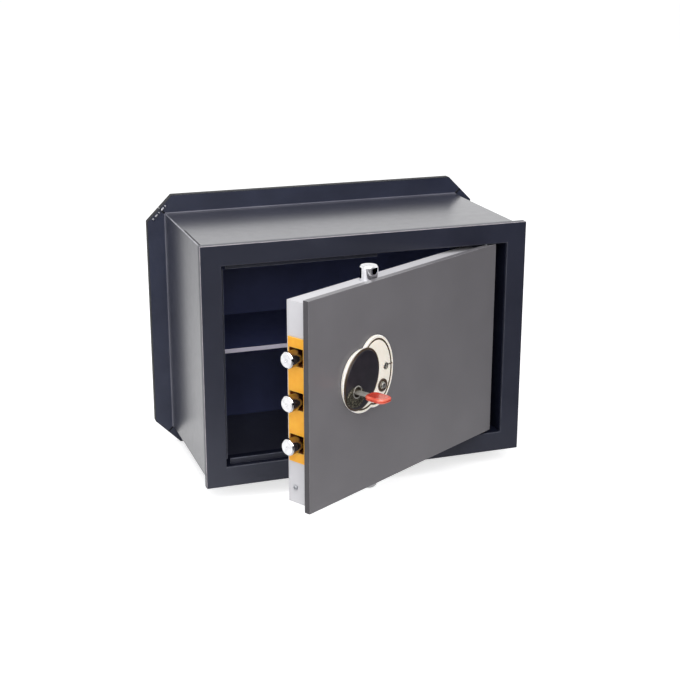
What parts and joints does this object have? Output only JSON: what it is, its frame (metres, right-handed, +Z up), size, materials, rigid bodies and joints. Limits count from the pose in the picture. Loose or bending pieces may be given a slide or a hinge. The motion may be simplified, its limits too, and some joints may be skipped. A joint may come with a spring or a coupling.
{
  "type": "wall safe",
  "caption": "Built-in steel wall safe with front frame, rear anchor wings, shelf, hinged door with chromed round bolts, oval lock plate and a key in its lock.",
  "frame": {"origin": "centre of the back panel's rear face", "axes": "+Y into the wall, the door faces -Y, +Z up, +X to the hinge side"},
  "size_m": [0.48, 0.4269, 0.36],
  "materials": {
    "body_paint": "semi-gloss dark blue-grey paint",
    "frame_paint": "semi-gloss dark blue-grey paint",
    "inner_paint": "dark navy paint",
    "shelf_paint": "satin grey-lilac paint",
    "door_paint": "semi-gloss grey paint",
    "box_paint": "satin silver paint",
    "steel": "bright turned steel",
    "chrome": "polished",
    "brass": "turned",
    "amber": "amber",
    "cream": "cream",
    "dark_plastic": "dark grey",
    "red": "red"
  },
  "bodies": {
    "safe_body": {"front_frame": "frame_paint", "body_shell": "body_paint", "back_panel": "inner_paint", "anchor_wing_top": "frame_paint", "anchor_wing_bottom": "frame_paint", "anchor_wing_left": "frame_paint", "anchor_wing_right": "frame_paint", "jamb_top": "inner_paint", "jamb_bottom": "inner_paint", "jamb_latch": "inner_paint", "jamb_hinge": "inner_paint", "door_stop_bottom": "inner_paint", "door_stop_top": "inner_paint", "door_stop_latch": "inner_paint", "shelf": "shelf_paint", "shelf_bracket_left": "inner_paint", "shelf_bracket_right": "inner_paint", "hinge_pin_top": "steel", "hinge_pin_bottom": "steel", "thrust_collar": "brass"},
    "door": {"door_plate": "door_paint", "door_box": "box_paint", "rear_cover": "box_paint", "cover_screw_1": "steel", "cover_screw_2": "steel", "cover_screw_3": "steel", "cover_screw_4": "steel", "cover_screw_5": "steel", "cover_screw_6": "steel", "box_screw": "steel", "guard_strip": "amber", "hinge_block_top": "steel", "hinge_block_bottom": "steel", "hard_plate": "steel", "lock_case": "steel", "lock_backplate": "cream", "lock_faceplate": "dark_plastic", "key_escutcheon": "dark_plastic", "faceplate_screw": "steel", "backplate_cap": "steel", "cap_ring": "dark_plastic", "rod_guide_top": "steel", "rod_guide_bottom": "steel"},
    "side_bolts": {"bolt_carriage": "steel", "carriage_rack": "steel", "side_bolt_lower": "chrome", "side_bolt_middle": "chrome", "side_bolt_upper": "chrome"},
    "upper_bolt": {"top_rod": "steel", "top_bolt": "chrome"},
    "lower_bolt": {"bottom_rod": "steel", "bottom_bolt": "chrome"},
    "plug": {"lock_plug": "brass", "drive_pinion": "steel"},
    "key": {"key_blade": "steel", "key_bow": "red"}
  },
  "joints": [
    {"name": "door_hinge", "type": "hinge", "parent": "safe_body", "child": "door", "pos_m": [0.1685, -0.226, 0], "axis": [0, 0, 1], "range_deg": [-30, 80]},
    {"name": "side_bolts_draw", "type": "slide", "parent": "door", "child": "side_bolts", "axis": [0.866, 0.5, 0], "range_m": [0, 0.016]},
    {"name": "upper_bolt_draw", "type": "slide", "parent": "door", "child": "upper_bolt", "axis": [0, 0, -1], "range_m": [0, 0.01601]},
    {"name": "lower_bolt_draw", "type": "slide", "parent": "door", "child": "lower_bolt", "axis": [0, 0, 1], "range_m": [0, 0.01601]},
    {"name": "key_turn", "type": "hinge", "parent": "door", "child": "plug", "pos_m": [-0.07304, -0.37584, 0.0056], "axis": [-0.5, 0.866, 0], "range_deg": [0, 90.01]},
    {"name": "key_withdraw", "type": "slide", "parent": "plug", "child": "key", "axis": [0.5, -0.866, 0], "range_m": [0, 0.04]}
  ],
  "couplings": [
    {"joint": "key_turn", "follows": "side_bolts_draw", "rad_per_m": 98.175},
    {"joint": "upper_bolt_draw", "follows": "side_bolts_draw", "ratio": 1},
    {"joint": "lower_bolt_draw", "follows": "side_bolts_draw", "ratio": 1}
  ]
}
